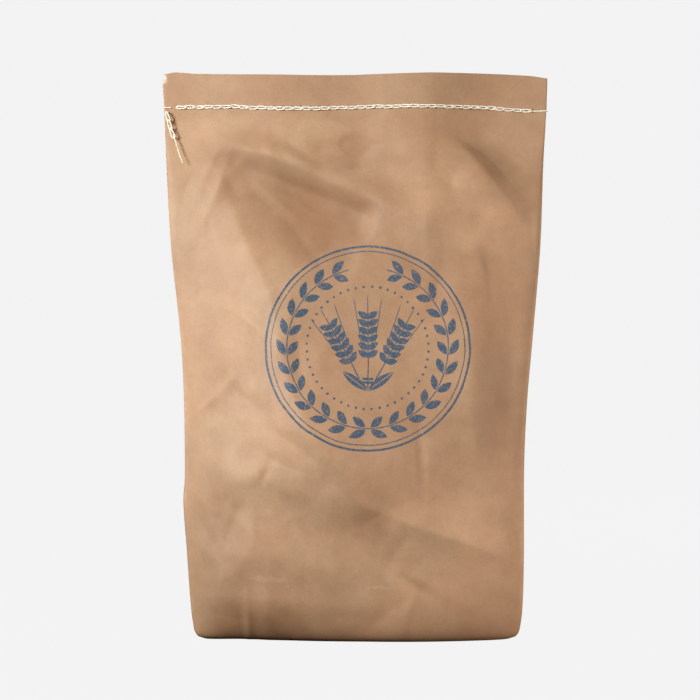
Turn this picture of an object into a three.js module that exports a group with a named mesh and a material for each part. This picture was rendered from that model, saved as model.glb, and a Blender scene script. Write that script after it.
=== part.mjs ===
// A paper sack filled with rye, standing upright and sewn shut across its flat top.
// Millimetres. +X runs to the right, +Y to the back and +Z up, and the origin is
// under the middle of the base. The sack's printed side faces -Y.

import * as THREE from 'three';

// The sack
const layFlatWidth = 305;        // the empty tube pressed flat, which is half its girth
const edgeFold = 0.9;            // half the thickness of the tube's two folded side edges
const baseRadius = 6;            // the rounding of the base at the side edges
const curveUnder = 38;           // the panels curve in towards the base below this height
const footDepth = 0.66;          // the part of the belly's depth that stands on the floor
const topNominal = 445;          // the mouth's height before its own waviness
const seamNominal = 418;
const pinchReach = 5;            // the sheets stay pressed together this far below the seam
const wedgeSlope = 0.33;         // how fast each panel leaves the pinched top, mm per mm
const wedgeBlend = 10;           // the soft corner where that wedge meets the filled belly
const swayTop = 395;             // above this the flat top sways by its full amount
const swayFoot = 300;            // and below this not at all
const foldSteepness = 1.6;       // over 1 a fold is steepest beside its crest
const frontSettle = 6.6;         // the front sinks this much under its folds,
const backSettle = -2.7;         // and the back bulges, so that both reach equally far

// The torn corner at the mouth's left end
const tearHeight = 5.5;
const tearWidth = 3.6;

// The stitching
const stitchCount = 41;
const stitchedFrom = -150;
const stitchedTo = 141;          // past this the thread runs on bare to the right edge
const threadRadius = 0.5;
const chainHalfWidth = 1.8;      // half the width of a chain stitch's loop
const threadGap = 0.3;           // clear air between the thread and the paper

// The loose end of the chain
const tailRadius = 1.1;
const tailSides = 8;
const tailSteps = 14;

// How finely the faceted solids are cut
const panelColumns = 36;
const baseRings = 4;
const bellyRings = 40;
const bandRings = 4;
const threadSides = 6;
const stationsPerStitch = 4;
const backStationsPerStitch = 2;
const turnStations = 6;

// Half widths from the middle plane to each side edge: [height, half width]
const leftOutline = [
  [0, 126.5], [20, 129.6], [69, 133.3], [107, 136.0], [128, 134.8], [194, 135.7],
  [241, 138.5], [303, 145.2], [356, 148.6], [seamNominal, 151.3], [topNominal, 152.9],
];
const rightOutline = [
  [0, 127.5], [20, 130.4], [60, 131.7], [137, 132.0], [187, 134.4],
  [235, 138.6], [303, 144.4], [374, 148.8], [seamNominal, 151.5], [topNominal, 152.4],
];

// How boxy the section is: 2 is an ellipse, more is squarer, less is pointed at the sides
const sectionPower = [[0, 2.7], [60, 2.3], [150, 2.0], [260, 1.9], [330, 1.8], [seamNominal, 1.7]];

// Heights of the mouth's edge and of the seam across the sack: [x, height]
const mouthLine = [
  [-152, 444.4], [-143, 445.6], [-126, 444.5], [-47, 443.4], [-13, 443.6],
  [20, 444.7], [103, 446.4], [138, 445.5], [152, 443.6],
];
const seamLine = [
  [-150, 417.6], [-100, 418.4], [-78, 417.3], [-36, 416.8], [-4, 418.1],
  [20, 418.8], [92, 419.4], [114, 418.8], [140, 417.3], [151, 417.6],
];

// How far the flat top stands back from a plane: [x, distance]
const swayLine = [
  [-154, 1.0], [-140, 1.0], [-115, 0.2], [-80, -1.8], [-60, -2.4], [-30, -0.2], [0, 2.6], [20, 1.8],
  [44, 0.4], [60, 1.0], [84, 7.6], [100, 12.6], [116, 16.4], [136, 18.8], [154, 19.4],
];

// Folds of the two panels. Each runs along its [x, height, lift] points; the lift dies away
// over `reach`, on the left and on the right hand of one who walks along it, and `crest` is
// how round its top is.
const frontFolds = {
  shoulderRidge: {
    reach: [52, 32], crest: 1.6,
    points: [
      [-138, 399, 0], [-122, 397, 2], [-104, 391, 6], [-78, 382, 9], [-48, 372, 10], [-22, 360, 9],
      [6, 348, 7], [32, 336, 6], [58, 326, 5], [84, 318, 2], [106, 312, 0],
    ],
  },
  shoulderHollow: {
    reach: [20, 80], crest: 4,
    points: [[-110, 382, 0], [-90, 370, -7], [-58, 357, -12], [-24, 344, -12], [4, 332, -8], [16, 324, 0]],
  },
  hollowRightSide: {
    reach: [60, 60], crest: 4,
    points: [[6, 366, 0], [4, 344, -2], [4, 322, -4], [6, 300, -3], [10, 272, 0]],
  },
  centreFold: {
    reach: [48, 46], crest: 3,
    points: [[-2, 428, -3], [0, 398, -5], [2, 372, -5], [4, 344, 0]],
  },
  upperRightRidge: {
    reach: [44, 86], crest: 2,
    points: [[40, 446, 5], [60, 414, 10], [80, 390, 15], [104, 362, 17], [122, 340, 12], [138, 318, 0]],
  },
  leftDiagonalRidge: {
    reach: [70, 62], crest: 2,
    points: [
      [-134, 396, 0], [-112, 370, 3], [-98, 338, 7], [-84, 305, 10], [-70, 276, 11], [-62, 245, 11],
      [-55, 210, 13], [-42, 176, 15], [-22, 146, 12], [0, 118, 5], [14, 98, 0],
    ],
  },
  leftSwell: {
    reach: [68, 52], crest: 4,
    points: [
      [-136, 156, 0], [-112, 140, 4], [-86, 131, 6], [-58, 122, 6], [-30, 112, 6], [0, 105, 4], [26, 98, 0],
    ],
  },
  rightTurn: {
    reach: [36, 44], crest: 4,
    points: [
      [70, 296, 0], [80, 268, 3], [88, 236, 5], [88, 204, 6], [88, 170, 5], [96, 138, 3], [104, 112, 0],
    ],
  },
  rightTrough: {
    reach: [14, 24], crest: 5,
    points: [[114, 300, 0], [121, 250, -1], [121, 200, -2], [118, 150, -2], [114, 122, 0]],
  },
  lowerRightRidge: {
    reach: [64, 34], crest: 2,
    points: [[-26, 124, 0], [0, 111, 5], [28, 99, 8], [60, 87, 9], [90, 77, 9], [116, 66, 7], [136, 56, 0]],
  },
  lowerLeftFold: {
    reach: [34, 20], crest: 2,
    points: [[-92, 136, 0], [-84, 110, 2], [-80, 82, 2.4], [-90, 58, 1.6], [-112, 42, 0]],
  },
  baseFold: {
    reach: [34, 60], crest: 7,
    points: [[-140, 66, 3], [-80, 66, 5], [0, 54, 4], [80, 46, 3], [140, 44, 2]],
  },
  bottomLeftDent: {
    reach: [34, 30], crest: 8,
    points: [[-118, -6, -7], [-90, -4, -11], [-62, -6, -8], [-20, -10, -3], [20, -10, 0]],
  },
};
const backFolds = {
  shoulderRidge: {
    reach: [36, 46], crest: 1.5,
    points: [
      [136, 380, 0], [104, 384, 6], [70, 374, 7], [20, 352, 5], [-30, 338, 4], [-84, 350, 5], [-130, 344, 0],
    ],
  },
  shoulderHollow: {
    reach: [44, 34], crest: 6,
    points: [[60, 352, 0], [24, 330, -7], [-10, 316, -9], [-50, 312, -5], [-90, 322, 0]],
  },
  rightDiagonalRidge: {
    reach: [60, 66], crest: 2,
    points: [[136, 392, 0], [108, 336, 5], [86, 262, 6], [64, 200, 5], [44, 150, 0]],
  },
  leftDiagonalRidge: {
    reach: [60, 54], crest: 2.5,
    points: [[-132, 376, 0], [-98, 300, 5], [-80, 228, 6], [-88, 150, 6], [-116, 96, 0]],
  },
  lowerFold: {
    reach: [34, 42], crest: 1.5,
    points: [[124, 66, 0], [62, 92, 6], [0, 78, 5], [-56, 96, 6], [-122, 62, 0]],
  },
  baseFold: {
    reach: [44, 30], crest: 4,
    points: [[140, 42, 2], [90, 46, 3], [0, 44, 3], [-90, 47, 3], [-140, 43, 2]],
  },
};

// The loose chain's centre line: [x, y, height]
const tailRoute = [
  [-149.8, -2.1, 414.2], [-148.7, -2.3, 410.6], [-147.7, -2.6, 406.8], [-146.9, -2.9, 402.8],
  [-145.7, -3.2, 398.8], [-144.2, -3.7, 394.8], [-142.7, -4.3, 390.8], [-141.3, -4.9, 386.8],
  [-139.9, -5.6, 382.8], [-138.5, -6.3, 378.8], [-137.3, -7.0, 374.8],
];

// A smooth curve through [place, value] points, read at any place
function smoothThrough(points) {
  const slopes = points.map((point, index) => {
    const before = points[Math.max(index - 1, 0)];
    const after = points[Math.min(index + 1, points.length - 1)];
    return (after[1] - before[1]) / (after[0] - before[0]);
  });
  return place => {
    const held = THREE.MathUtils.clamp(place, points[0][0], points.at(-1)[0]);
    let index = 0;
    while (index < points.length - 2 && held > points[index + 1][0]) index += 1;
    const [from, low] = points[index];
    const [to, high] = points[index + 1];
    const span = to - from;
    const t = (held - from) / span;
    const easeLow = (1 + 2 * t) * (1 - t) ** 2;
    const easeHigh = t * t * (3 - 2 * t);
    const bendLow = t * (1 - t) ** 2 * span * slopes[index];
    const bendHigh = t * t * (t - 1) * span * slopes[index + 1];
    return low * easeLow + high * easeHigh + bendLow + bendHigh;
  };
}

const leftHalfWidth = smoothThrough(leftOutline);
const rightHalfWidth = smoothThrough(rightOutline);
const powerAt = smoothThrough(sectionPower);
const mouthHeight = smoothThrough(mouthLine);
const seamHeight = smoothThrough(seamLine);
const standsBack = smoothThrough(swayLine);

function softMin(a, b, blend) {
  return 0.5 * (a + b - Math.hypot(a - b, blend));
}

// The section's outline as a fraction of its half width and half depth
function sectionPoint(turn, power) {
  const across = Math.cos(turn);
  const along = Math.sin(turn);
  return [Math.sign(across) * Math.abs(across) ** (2 / power), Math.abs(along) ** (2 / power)];
}

function girth(halfWidth, halfDepth, power) {
  const steps = 96;
  let length = 0;
  let [lastX, lastY] = [halfWidth, 0];
  for (let step = 1; step <= steps; step += 1) {
    const [across, along] = sectionPoint(Math.PI * step / steps, power);
    length += Math.hypot(across * halfWidth - lastX, along * halfDepth - lastY);
    [lastX, lastY] = [across * halfWidth, along * halfDepth];
  }
  return 2 * length;
}

// Paper doesn't stretch, so the section's depth follows from its width and the tube's girth
function filledHalfDepth(halfWidth, power) {
  let shallow = 0;
  let deep = halfWidth;
  for (let round = 0; round < 30; round += 1) {
    const middle = (shallow + deep) / 2;
    if (girth(halfWidth, middle, power) < 2 * layFlatWidth) shallow = middle;
    else deep = middle;
  }
  return shallow;
}

function halfDepthAt(height) {
  const pinch = seamNominal - pinchReach;
  if (height >= pinch) return 0;
  const halfWidth = (leftHalfWidth(height) + rightHalfWidth(height)) / 2;
  const wedge = (pinch - height) * wedgeSlope;
  return Math.max(0, softMin(filledHalfDepth(halfWidth, powerAt(height)), wedge, wedgeBlend));
}

// The share of the belly's depth that is left at a height, as the panels curve under
function underCurve(height) {
  const drop = Math.max(0, 1 - height / curveUnder);
  return footDepth + (1 - footDepth) * Math.sqrt(1 - drop * drop);
}

// The flat top sways to the front and the back along its width
function swayAt(x, height) {
  return THREE.MathUtils.smoothstep(height, swayFoot, swayTop) * standsBack(x);
}

// A fold is laid out over the straight line from its first point to its last
function foldLift({ reach, crest, points }) {
  const [startX, startZ] = points[0];
  const [endX, endZ] = points.at(-1);
  const length = Math.hypot(endX - startX, endZ - startZ);
  const [unitX, unitZ] = [(endX - startX) / length, (endZ - startZ) / length];
  const alongLine = (x, z) => (x - startX) * unitX + (z - startZ) * unitZ;
  const besideLine = (x, z) => (z - startZ) * unitX - (x - startX) * unitZ;
  const bowAt = smoothThrough(points.map(([x, z]) => [alongLine(x, z), besideLine(x, z)]));
  const liftAt = smoothThrough(points.map(([x, z, lift]) => [alongLine(x, z), lift]));
  return (x, z) => {
    const along = alongLine(x, z);
    const aside = besideLine(x, z) - bowAt(along);
    const away = (Math.hypot(aside, crest) - crest) / reach[aside > 0 ? 0 : 1];
    return liftAt(along) * Math.max(0, 1 - away) ** foldSteepness;
  };
}

const frontLifts = Object.values(frontFolds).map(foldLift);
const backLifts = Object.values(backFolds).map(foldLift);

// The folds die out at the side edges and in the pressed top
function reliefAt(x, height, across, lifts, settle) {
  const fromSides = 1 - across ** 8;
  const fromSeam = 1 - THREE.MathUtils.smoothstep(height, seamNominal - 40, seamNominal - pinchReach);
  const folded = lifts.reduce((sum, lift) => sum + lift(x, height), 0);
  return (folded - settle) * fromSides * fromSeam;
}

// One closed ring of the sack: the front panel from left to right, then the back panel
function sackRing(height, inset, topShare) {
  const left = leftHalfWidth(height) - inset - tornWidth(topShare);
  const right = rightHalfWidth(height) - inset;
  const power = powerAt(height);
  const halfDepth = halfDepthAt(height) * underCurve(height);
  const panel = (facing, lifts, settle) => Array.from({ length: panelColumns + 1 }, (_, column) => {
    const [across, along] = sectionPoint(Math.PI * (1 - column / panelColumns), power);
    const x = (right - left) / 2 + across * (right + left) / 2;
    const z = height + topShare * (mouthHeight(x) - topNominal);
    const bulge = along * halfDepth;
    const relief = halfDepth > 0 ? reliefAt(x, height, Math.abs(across), lifts, settle) : 0;
    const depth = edgeFold + Math.max(0, bulge + relief * Math.min(1, bulge / 6));
    return [x, swayAt(x, height) + facing * depth, z];
  });
  return [...panel(-1, frontLifts, frontSettle), ...panel(1, backLifts, backSettle).reverse()];
}

function tornWidth(topShare) {
  const from = 1 - tearHeight / (topNominal - seamNominal);
  return tearWidth * THREE.MathUtils.clamp((topShare - from) / (1 - from), 0, 1);
}

// A closed skin over rings of equal count. An open run of rings gets a strip of flat
// faces across its first and last ring; a closed run joins its last ring to its first.
function skin(rings, closed) {
  const count = rings[0].length;
  const faces = [];
  const quad = (a, b, c, d) => faces.push(a, b, c, a, c, d);
  const bands = closed ? rings.length : rings.length - 1;
  for (let band = 0; band < bands; band += 1) {
    const low = band * count;
    const high = ((band + 1) % rings.length) * count;
    for (let index = 0; index < count; index += 1) {
      const next = (index + 1) % count;
      quad(low + index, low + next, high + next, high + index);
    }
  }
  const top = (rings.length - 1) * count;
  for (let index = 0; !closed && index < count / 2 - 1; index += 1) {
    const facing = count - 1 - index;
    quad(index + 1, index, facing, facing - 1);
    quad(top + index, top + index + 1, top + facing - 1, top + facing);
  }
  const geometry = new THREE.BufferGeometry();
  geometry.setAttribute('position', new THREE.Float32BufferAttribute(rings.flat(2), 3));
  geometry.setIndex(faces);
  geometry.computeVertexNormals();
  return geometry;
}

function makeSack() {
  const rings = [];
  for (let ring = 0; ring < baseRings; ring += 1) {
    const turn = Math.PI / 2 * ring / baseRings;
    rings.push(sackRing(baseRadius * (1 - Math.cos(turn)), baseRadius * (1 - Math.sin(turn)), 0));
  }
  const pinch = seamNominal - pinchReach;
  for (let ring = 0; ring <= bellyRings; ring += 1) {
    rings.push(sackRing(THREE.MathUtils.lerp(baseRadius, pinch, ring / bellyRings), 0, 0));
  }
  const shares = Array.from({ length: bandRings }, (_, ring) => ring / bandRings);
  for (const share of [...shares, 1]) {
    rings.push(sackRing(THREE.MathUtils.lerp(seamNominal, topNominal, share), 0, share));
  }
  return skin(rings, false);
}

// One section of the thread, set square to its run: [x, y, height] of its centre, the
// direction that points away from the paper, and its half width and half thickness
function threadSection(centre, outward, halfWidth, halfThickness) {
  return Array.from({ length: threadSides }, (_, side) => {
    const turn = 2 * Math.PI * (side + 0.5) / threadSides;
    const [out, up] = [Math.cos(turn) * halfThickness, Math.sin(turn) * halfWidth];
    return [centre[0] + outward[0] * out, centre[1] + outward[1] * out, centre[2] + up];
  });
}

// The sewing thread: a chain of loops along the front, a plain line along the back, and a
// turn round each side edge
function makeSeamThread() {
  const stand = edgeFold + threadGap + threadRadius;
  const pitch = (stitchedTo - stitchedFrom) / stitchCount;
  const leftEdge = -leftHalfWidth(seamNominal) + threadGap;
  const rightEdge = rightHalfWidth(seamNominal) - threadGap;
  const sections = [];
  const straight = (x, facing, halfWidth) => {
    const centre = [x, swayAt(x, seamNominal) + facing * stand, seamHeight(x)];
    sections.push(threadSection(centre, [0, facing], halfWidth, threadRadius));
  };
  const turnRound = (edge, start) => {
    for (let station = 0; station <= turnStations; station += 1) {
      const turn = start + Math.PI * station / turnStations;
      const outward = [Math.cos(turn), Math.sin(turn)];
      const y = swayAt(edge, seamNominal) + outward[1] * stand;
      const centre = [edge + outward[0] * stand, y, seamHeight(edge)];
      sections.push(threadSection(centre, outward, threadRadius, threadRadius));
    }
  };
  for (let station = 1; station < stitchCount * stationsPerStitch; station += 1) {
    const loop = Math.sin(Math.PI * station / stationsPerStitch) ** 2;
    const halfWidth = THREE.MathUtils.lerp(threadRadius * 1.5, chainHalfWidth, loop);
    straight(stitchedFrom + pitch * station / stationsPerStitch, -1, halfWidth);
  }
  turnRound(rightEdge, -Math.PI / 2);
  for (let station = stitchCount * backStationsPerStitch - 1; station > 0; station -= 1) {
    const dip = station % backStationsPerStitch ? 1 : 0.7;
    straight(stitchedFrom + pitch * station / backStationsPerStitch, 1, threadRadius * dip);
  }
  turnRound(leftEdge, Math.PI / 2);
  return skin(sections.map(section => section.reverse()), true);
}

// The loose end of the chain, which hangs down over the front of the left edge
function makeTail() {
  const route = new THREE.CatmullRomCurve3(tailRoute.map(point => new THREE.Vector3(...point)));
  const section = new THREE.Shape();
  section.absarc(0, 0, tailRadius, 0, 2 * Math.PI);
  return new THREE.ExtrudeGeometry(section, {
    curveSegments: tailSides / 2,
    steps: tailSteps,
    extrudePath: route,
  });
}

const kraftPaper = new THREE.MeshStandardMaterial({ color: 0xb9936f, roughness: 0.78, metalness: 0 });
const cottonThread = new THREE.MeshStandardMaterial({ color: 0xf0e6d4, roughness: 0.9, metalness: 0 });

const ryeSack = new THREE.Group();
const pieces = [
  ['sack', makeSack, kraftPaper],
  ['seam_thread', makeSeamThread, cottonThread],
  ['thread_tail', makeTail, cottonThread],
];
for (const [name, make, material] of pieces) {
  const mesh = new THREE.Mesh(make(), material.clone());
  mesh.name = name;
  ryeSack.add(mesh);
}

export default ryeSack;
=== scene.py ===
import math

import bmesh
import bpy
import numpy as np
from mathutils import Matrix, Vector


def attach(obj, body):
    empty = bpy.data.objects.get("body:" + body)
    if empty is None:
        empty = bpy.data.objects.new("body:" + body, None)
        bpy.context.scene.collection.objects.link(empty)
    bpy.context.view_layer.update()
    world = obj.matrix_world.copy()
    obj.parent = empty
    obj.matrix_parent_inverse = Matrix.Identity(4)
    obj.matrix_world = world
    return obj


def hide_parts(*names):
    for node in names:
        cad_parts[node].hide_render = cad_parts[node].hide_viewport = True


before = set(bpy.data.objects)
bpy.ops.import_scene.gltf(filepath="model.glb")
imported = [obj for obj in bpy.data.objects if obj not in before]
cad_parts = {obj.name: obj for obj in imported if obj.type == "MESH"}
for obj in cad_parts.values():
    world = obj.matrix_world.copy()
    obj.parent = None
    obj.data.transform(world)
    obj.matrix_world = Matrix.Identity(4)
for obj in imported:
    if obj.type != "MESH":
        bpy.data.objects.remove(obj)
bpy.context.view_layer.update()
mm = 0.001

# A filled paper sack, sewn shut. The forms are worked out in millimetres and scaled by mm.


def deselectAll():
    if bpy.context.object and bpy.context.object.mode != "OBJECT":
        bpy.ops.object.mode_set(mode="OBJECT")
    bpy.ops.object.select_all(action="DESELECT")


def only(piece):
    deselectAll()
    piece.select_set(True)
    bpy.context.view_layer.objects.active = piece


def readPoints(piece):
    points = np.empty(len(piece.data.vertices) * 3)
    piece.data.vertices.foreach_get("co", points)
    return points.reshape(-1, 3)


def writePoints(piece, points):
    piece.data.vertices.foreach_set("co", np.ascontiguousarray(points, dtype=np.float32).ravel())
    piece.data.update()


def cutAlong(piece, axis, cuts):
    bpy.ops.object.mode_set(mode="EDIT")
    bpy.ops.mesh.select_mode(type="EDGE")
    bpy.ops.mesh.select_all(action="DESELECT")
    shape = bmesh.from_edit_mesh(piece.data)
    for edge in shape.edges:
        run = edge.verts[1].co - edge.verts[0].co
        edge.select = abs(run[axis]) > 0.9 * run.length
    shape.select_flush_mode()
    bmesh.update_edit_mesh(piece.data)
    bpy.ops.mesh.subdivide(number_cuts=cuts)
    bpy.ops.object.mode_set(mode="OBJECT")


def smoothFaces(piece, degrees):
    only(piece)
    bpy.ops.object.shade_smooth_by_angle(angle=math.radians(degrees))


def ease(value, low, high):
    t = np.clip((value - low) / (high - low), 0, 1)
    return t * t * (3 - 2 * t)


def through(points, place):  # a smooth curve through [place, value] points
    places, values = np.array(points, float).T
    before = np.maximum(np.arange(len(places)) - 1, 0)
    after = np.minimum(np.arange(len(places)) + 1, len(places) - 1)
    slopes = (values[after] - values[before]) / (places[after] - places[before])
    held = np.clip(place, places[0], places[-1])
    at = np.clip(np.searchsorted(places, held) - 1, 0, len(places) - 2)
    span = places[at + 1] - places[at]
    t = (held - places[at]) / span
    flat = values[at] * (1 + 2 * t) * (1 - t) ** 2 + values[at + 1] * t * t * (3 - 2 * t)
    return flat + span * (slopes[at] * t * (1 - t) ** 2 + slopes[at + 1] * t * t * (t - 1))


def unitRows(rows):
    return rows / np.linalg.norm(rows, axis=1, keepdims=True)


def follow(route, distance):  # the places at these distances along a route, and the way it runs there
    steps = np.linalg.norm(np.diff(route, axis=0), axis=1)
    walked = np.concatenate([[0], np.cumsum(steps)])
    at = lambda d: np.stack([np.interp(d, walked, column) for column in route.T], 1)
    near = 0.2
    run = unitRows(at(distance + near) - at(distance - near))
    beyond = np.clip(distance - walked[-1], 0, None)[:, None]
    return at(distance) + beyond * run, run


def softNoise(x, z, size, seed):  # smooth noise from -1 to 1 with lumps about one size wide
    draw = np.random.default_rng(seed).uniform(-1, 1, (64, 64))
    u, v = x / size, z / size
    left, low = np.floor(u).astype(int), np.floor(v).astype(int)
    s, t = u - left, v - low
    s, t = s * s * (3 - 2 * s), t * t * (3 - 2 * t)
    value = lambda a, b: draw[(left + a) % 64, (low + b) % 64]
    under = (1 - s) * value(0, 0) + s * value(1, 0)
    over = (1 - s) * value(0, 1) + s * value(1, 1)
    return (1 - t) * under + t * over


class Wire:  # one socket of a material, with arithmetic
    def __init__(self, finish, socket):
        self.finish, self.socket = finish, socket

    def math(self, operation, *others):
        inputs = dict(enumerate((self,) + others))
        return self.finish.add("ShaderNodeMath", {"operation": operation}, inputs)

    def __add__(self, other):
        return self.math("ADD", other)

    __radd__ = __add__

    def __mul__(self, other):
        return self.math("MULTIPLY", other)

    __rmul__ = __mul__

    def __sub__(self, other):
        return self.math("SUBTRACT", other)

    def __rsub__(self, other):
        return (self * -1) + other

    def __truediv__(self, other):
        return self.math("DIVIDE", other)

    def __mod__(self, other):
        return self.math("FLOORED_MODULO", other)

    def __pow__(self, other):
        return self.math("POWER", other)

    def __abs__(self):
        return self.math("ABSOLUTE")

    def least(self, other):
        return self.math("MINIMUM", other)

    def most(self, other):
        return self.math("MAXIMUM", other)

    def below(self, edge, blur):  # 1 under the edge and 0 over it
        return self.finish.step(self, edge + blur, edge - blur)

    def above(self, edge, blur):
        return self.finish.step(self, edge - blur, edge + blur)


class Finish:
    def __init__(self, name, owner=None):
        self.material = owner or bpy.data.materials.new(name)
        self.material.use_nodes = True
        self.tree = self.material.node_tree
        self.tree.nodes.clear()
        self.place = self.add("ShaderNodeTexCoord", output="Object")
        self.sides = None

    def add(self, kind, settings=None, inputs=None, output=0):
        node = self.tree.nodes.new(kind)
        for name, value in (settings or {}).items():
            if name == "stops":
                while len(node.color_ramp.elements) < len(value):
                    node.color_ramp.elements.new(0.5)
                for element, (position, color) in zip(node.color_ramp.elements, value):
                    element.position, element.color = position, color
            else:
                setattr(node, name, value)
        for name, value in (inputs or {}).items():
            if isinstance(value, Wire):
                self.tree.links.new(value.socket, node.inputs[name])
            else:
                node.inputs[name].default_value = value
        return None if output is None else Wire(self, node.outputs[output])

    def step(self, value, low, high):
        inputs = {"Value": value, "From Min": low, "From Max": high}
        return self.add("ShaderNodeMapRange", {"interpolation_type": "SMOOTHSTEP"}, inputs)

    def axis(self, letter):  # one coordinate in millimetres
        if self.sides is None:
            self.sides = self.tree.nodes.new("ShaderNodeSeparateXYZ")
            self.tree.links.new(self.place.socket, self.sides.inputs[0])
        return Wire(self, self.sides.outputs[letter]) * 1000

    def noise(self, scale, detail=3.0, rough=0.5, stretch=(1, 1, 1), offset=(0, 0, 0)):
        moved = {"Vector": self.place, "Scale": stretch, "Location": offset}
        place = self.add("ShaderNodeMapping", None, moved)
        inputs = {"Vector": place, "Scale": scale, "Detail": detail, "Roughness": rough}
        return self.add("ShaderNodeTexNoise", None, inputs)

    def mix(self, share, under, over, blend="MIX"):
        settings = {"data_type": "RGBA", "blend_type": blend}
        return self.add("ShaderNodeMix", settings, {0: share, 6: under, 7: over}, output=2)

    def bump(self, height, distance, strength=1.0, under=None):
        inputs = {"Height": height, "Distance": distance, "Strength": strength}
        if under:
            inputs["Normal"] = under
        return self.add("ShaderNodeBump", None, inputs)

    def end(self, shader):
        self.add("ShaderNodeOutputMaterial", None, {"Surface": shader}, output=None)
        return self.material

    def close(self, inputs):
        return self.end(self.add("ShaderNodeBsdfPrincipled", None, inputs))


photoView = {
    "photoWidth": 700,
    "sackMiddlePixel": 356.3,     # the column that the sack's middle plane falls on
    "levelPixel": 350,            # the row at the camera's own height
    "floorPixel": 636.5,          # the row of the floor under the sack's middle plane
    "metresPerPixel": 0.00079,    # at the sack's middle plane
    "distance": 1.5,
    "sensor": 36,
}


def makeCamera(v):
    middle = v["photoWidth"] / 2
    side = (middle - v["sackMiddlePixel"]) * v["metresPerPixel"]
    height = (v["floorPixel"] - v["levelPixel"]) * v["metresPerPixel"]
    bpy.ops.object.camera_add(location=(side, -v["distance"], height), rotation=(math.pi / 2, 0, 0))
    camera = bpy.context.object
    camera.name = "photoCamera"
    camera.data.sensor_width = v["sensor"]
    camera.data.lens = v["sensor"] * v["distance"] / (v["photoWidth"] * v["metresPerPixel"])
    camera.data.dof.use_dof = False
    bpy.context.scene.camera = camera


deselectAll()
makeCamera(photoView)
print("camera done")


threadSizes = {
    "radius": 0.5,
    "plyDepth": 0.13,
    "plyStep": 2.4,             # length of thread from one ply to the next
    "loopThread": 2.2,          # length of thread in a loop, in lengths of the loop
    "endWidth": 0.6,            # how a strand narrows at its cut ends
    "needleShare": 0.92,        # the needle line's radius as a share of the thread's
    "ringCuts": 48,
    "sideCuts": 12,
    "pitch": 7.1,               # from one needle hole to the next
    "firstHole": 141.0,         # the sewing ran from right to left
    "loopCount": 40,
    "seed": 5,
    "seamEnd": -153,            # how far left the loops' route runs
    "needleEnd": -146,          # where the needle line ends on the front
    "frontStep": 0.5,           # from one point of a route to the next
    "backStep": 0.4,
    "turnStart": 1,             # the needle line starts to turn this far inside the edge
    "turnDepth": 1.5,
    "dipReach": 0.8,            # the needle line dips into each hole
    "dipDepth": 0.9,
    "needleStray": (0.18, 9),   # how far and how slowly it strays from the seam's line
    "needleCuts": (27, 27),
    "loopLength": 9.0,
    "loopHalfWidth": 1.2,
    "loopRise": [(0, -0.55), (0.6, 0.4), (1.7, 1.35), (3.6, 0.85), (6.0, 0.55), (10, 0.5)],
    "edgeGap": 0.25,
    "unevenness": 0.08,
    "leanReach": 6,             # turns the unevenness into millimetres at a loop's end
    "tailLoopLength": 8.4,
    "tailLoopHalfWidth": 1.6,
    "tailPitch": 6.7,
    "tailLoopCount": 3,
    "tailRise": [(0, -0.3), (1.6, 0.75), (4.2, 0.3), (9, -0.35)],
    "tailOutward": (-0.25, -0.97, 0.0),
    "tailRoute": [
        (-149.8, -2.1, 414.2), (-148.7, -2.3, 410.6), (-147.7, -2.6, 406.8), (-146.9, -2.9, 402.8),
        (-145.7, -3.2, 398.8), (-144.2, -3.7, 394.8), (-142.7, -4.3, 390.8), (-141.3, -4.9, 386.8),
        (-139.9, -5.6, 382.8), (-138.5, -6.3, 378.8), (-137.3, -7.0, 374.8),
    ],
    "tailDiameter": 2.2,
    "tailShare": 0.9,           # the loose strand's radius as a share of the thread's
    "tailStray": (0.25, 3.1),   # how far and how slowly it wavers
    "tailStrayWay": (0.9, 0.3, 0),
    "tailCuts": (8, 6),
    "tailTaper": 0.25,
    "fibre": 0.14,              # radius of the bare fibres
    "fibreSag": (0, 0, -1.2),
    "fibreTaper": 0.5,
    "knotRise": 0.6,            # the knot's place past the last loop
    "knotFibre": (3.0, -0.4, 0.5),
    "tipFibres": ((1.3, -0.3, -1.5), (-0.4, -0.5, -2.0), (0.6, 0.3, -2.2)),
}


def windThread(piece, line, share, turn, crossings, radius, outward, t):  # three twisted plies
    place, run = line(share)
    side = unitRows(np.cross(run, outward))
    lift = np.cross(side, run)
    thick = (radius * (1 + t["plyDepth"] * np.cos(3 * turn - 2 * math.pi * crossings * share)))[:, None]
    ring = side * np.cos(turn)[:, None] + lift * np.sin(turn)[:, None]
    writePoints(piece, (place + ring * thick) * mm)


def loopLine(route, start, length, halfWidth, rise, outward, lean):
    def places(share):
        turn = 2 * math.pi * share
        forth = (1 - np.cos(turn)) / 2
        aside = halfWidth * np.sign(np.sin(turn)) * np.abs(np.sin(turn)) ** 0.75 * (0.5 + 0.5 * forth)
        place, run = follow(route, start + length * forth)
        side = unitRows(np.cross(run, outward))
        aside = aside + lean * forth
        return place + side * aside[:, None] + np.outer(through(rise, length * forth), outward)

    def line(share):
        near = 0.004
        return places(share), unitRows(places(share + near) - places(share - near))

    return line


def sewLoop(name, line, length, outward, t):
    deselectAll()
    bpy.ops.mesh.primitive_torus_add(
        major_segments=t["ringCuts"], minor_segments=t["sideCuts"], major_radius=1, minor_radius=0.25)
    loop = bpy.context.object
    loop.name = name
    x, y, z = readPoints(loop).T
    share = np.arctan2(y, x) / (2 * math.pi) % 1
    turn = np.arctan2(z, np.hypot(x, y) - 1)
    crossings = round(t["loopThread"] * length / t["plyStep"])
    windThread(loop, line, share, turn, crossings, t["radius"], outward, t)
    return loop


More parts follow.
